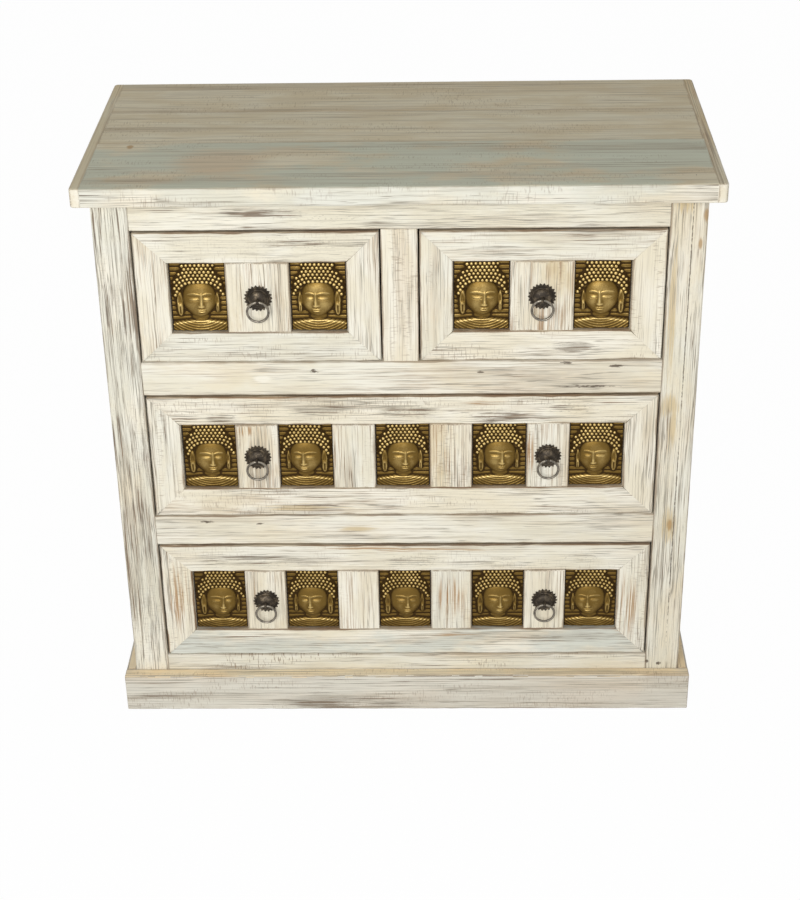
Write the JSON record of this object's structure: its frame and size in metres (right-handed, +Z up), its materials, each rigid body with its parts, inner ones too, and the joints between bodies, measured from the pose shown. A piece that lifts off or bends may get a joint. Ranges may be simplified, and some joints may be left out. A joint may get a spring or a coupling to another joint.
{
  "type": "chest of drawers",
  "caption": "Whitewashed wooden chest with small drawers over wide ones, brass relief plaques set in the fronts and hinged iron ring pulls.",
  "frame": {"origin": "on the floor, under the middle of the top", "axes": "+X to the right of someone facing the drawers, +Y to the back, +Z up"},
  "size_m": [0.9, 0.44, 0.895],
  "materials": {
    "whitewashed_wood": "rubbed whitewash over solid wood, matt, worn to brown at edges",
    "top_wood": "thin grey-beige wash over planed boards, matt",
    "plain_wood": "bare sawn and planed wood, matt",
    "aged_brass": "cast brass, darkened in the hollows and rubbed bright on the high spots",
    "antique_iron": "dark antiqued iron, satin",
    "ring_steel": "worn grey iron wire, satin"
  },
  "bodies": {
    "carcass": {"back_panel": "plain_wood", "back_rails": "plain_wood", "bottom_rail": "whitewashed_wood", "centre_muntin": "whitewashed_wood", "drawer_runners": "plain_wood", "drawer_stops": "plain_wood", "front_post_left": "whitewashed_wood", "front_post_right": "whitewashed_wood", "lower_rail": "whitewashed_wood", "plinth_front": "whitewashed_wood", "plinth_side_left": "whitewashed_wood", "plinth_side_right": "whitewashed_wood", "rear_post_left": "whitewashed_wood", "rear_post_right": "whitewashed_wood", "side_panel_left": "whitewashed_wood", "side_panel_right": "whitewashed_wood", "side_rails": "whitewashed_wood", "top_boards": "top_wood", "top_kickers": "plain_wood", "top_lippings": "top_wood", "top_rail": "whitewashed_wood", "upper_rail": "whitewashed_wood"},
    "lower_drawer": {"lower_back": "plain_wood", "lower_bottom": "plain_wood", "lower_front_blocks": "whitewashed_wood", "lower_front_board": "plain_wood", "lower_front_frame": "whitewashed_wood", "lower_plaques": "aged_brass", "lower_pull_mounts": "antique_iron", "lower_sides": "plain_wood"},
    "lower_left_ring": {"lower_left_ring": "ring_steel"},
    "lower_right_ring": {"lower_right_ring": "ring_steel"},
    "middle_drawer": {"middle_back": "plain_wood", "middle_bottom": "plain_wood", "middle_front_blocks": "whitewashed_wood", "middle_front_board": "plain_wood", "middle_front_frame": "whitewashed_wood", "middle_plaques": "aged_brass", "middle_pull_mounts": "antique_iron", "middle_sides": "plain_wood"},
    "middle_left_ring": {"middle_left_ring": "ring_steel"},
    "middle_right_ring": {"middle_right_ring": "ring_steel"},
    "upper_left_drawer": {"upper_left_back": "plain_wood", "upper_left_bottom": "plain_wood", "upper_left_front_blocks": "whitewashed_wood", "upper_left_front_board": "plain_wood", "upper_left_front_frame": "whitewashed_wood", "upper_left_plaques": "aged_brass", "upper_left_pull_mounts": "antique_iron", "upper_left_sides": "plain_wood"},
    "upper_left_ring": {"upper_left_ring": "ring_steel"},
    "upper_right_drawer": {"upper_right_back": "plain_wood", "upper_right_bottom": "plain_wood", "upper_right_front_blocks": "whitewashed_wood", "upper_right_front_board": "plain_wood", "upper_right_front_frame": "whitewashed_wood", "upper_right_plaques": "aged_brass", "upper_right_pull_mounts": "antique_iron", "upper_right_sides": "plain_wood"},
    "upper_right_ring": {"upper_right_ring": "ring_steel"}
  },
  "joints": [
    {"name": "upper_left_drawer_slide", "type": "slide", "parent": "carcass", "child": "upper_left_drawer", "axis": [0, -1, 0], "range_m": [0, 0.28]},
    {"name": "upper_left_ring_swing", "type": "hinge", "parent": "upper_left_drawer", "child": "upper_left_ring", "pos_m": [-0.202, -0.1986, 0.71325], "axis": [-1, 0, 0], "range_deg": [-20, 200]},
    {"name": "upper_right_drawer_slide", "type": "slide", "parent": "carcass", "child": "upper_right_drawer", "axis": [0, -1, 0], "range_m": [0, 0.28]},
    {"name": "upper_right_ring_swing", "type": "hinge", "parent": "upper_right_drawer", "child": "upper_right_ring", "pos_m": [0.202, -0.1986, 0.71325], "axis": [-1, 0, 0], "range_deg": [-20, 200]},
    {"name": "middle_drawer_slide", "type": "slide", "parent": "carcass", "child": "middle_drawer", "axis": [0, -1, 0], "range_m": [0, 0.28]},
    {"name": "middle_left_ring_swing", "type": "hinge", "parent": "middle_drawer", "child": "middle_left_ring", "pos_m": [-0.21593, -0.1986, 0.45275], "axis": [-1, 0, 0], "range_deg": [-20, 200]},
    {"name": "middle_right_ring_swing", "type": "hinge", "parent": "middle_drawer", "child": "middle_right_ring", "pos_m": [0.21593, -0.1986, 0.45275], "axis": [-1, 0, 0], "range_deg": [-20, 200]},
    {"name": "lower_drawer_slide", "type": "slide", "parent": "carcass", "child": "lower_drawer", "axis": [0, -1, 0], "range_m": [0, 0.28]},
    {"name": "lower_left_ring_swing", "type": "hinge", "parent": "lower_drawer", "child": "lower_left_ring", "pos_m": [-0.21593, -0.1986, 0.19525], "axis": [-1, 0, 0], "range_deg": [-20, 200]},
    {"name": "lower_right_ring_swing", "type": "hinge", "parent": "lower_drawer", "child": "lower_right_ring", "pos_m": [0.21593, -0.1986, 0.19525], "axis": [-1, 0, 0], "range_deg": [-20, 200]}
  ]
}
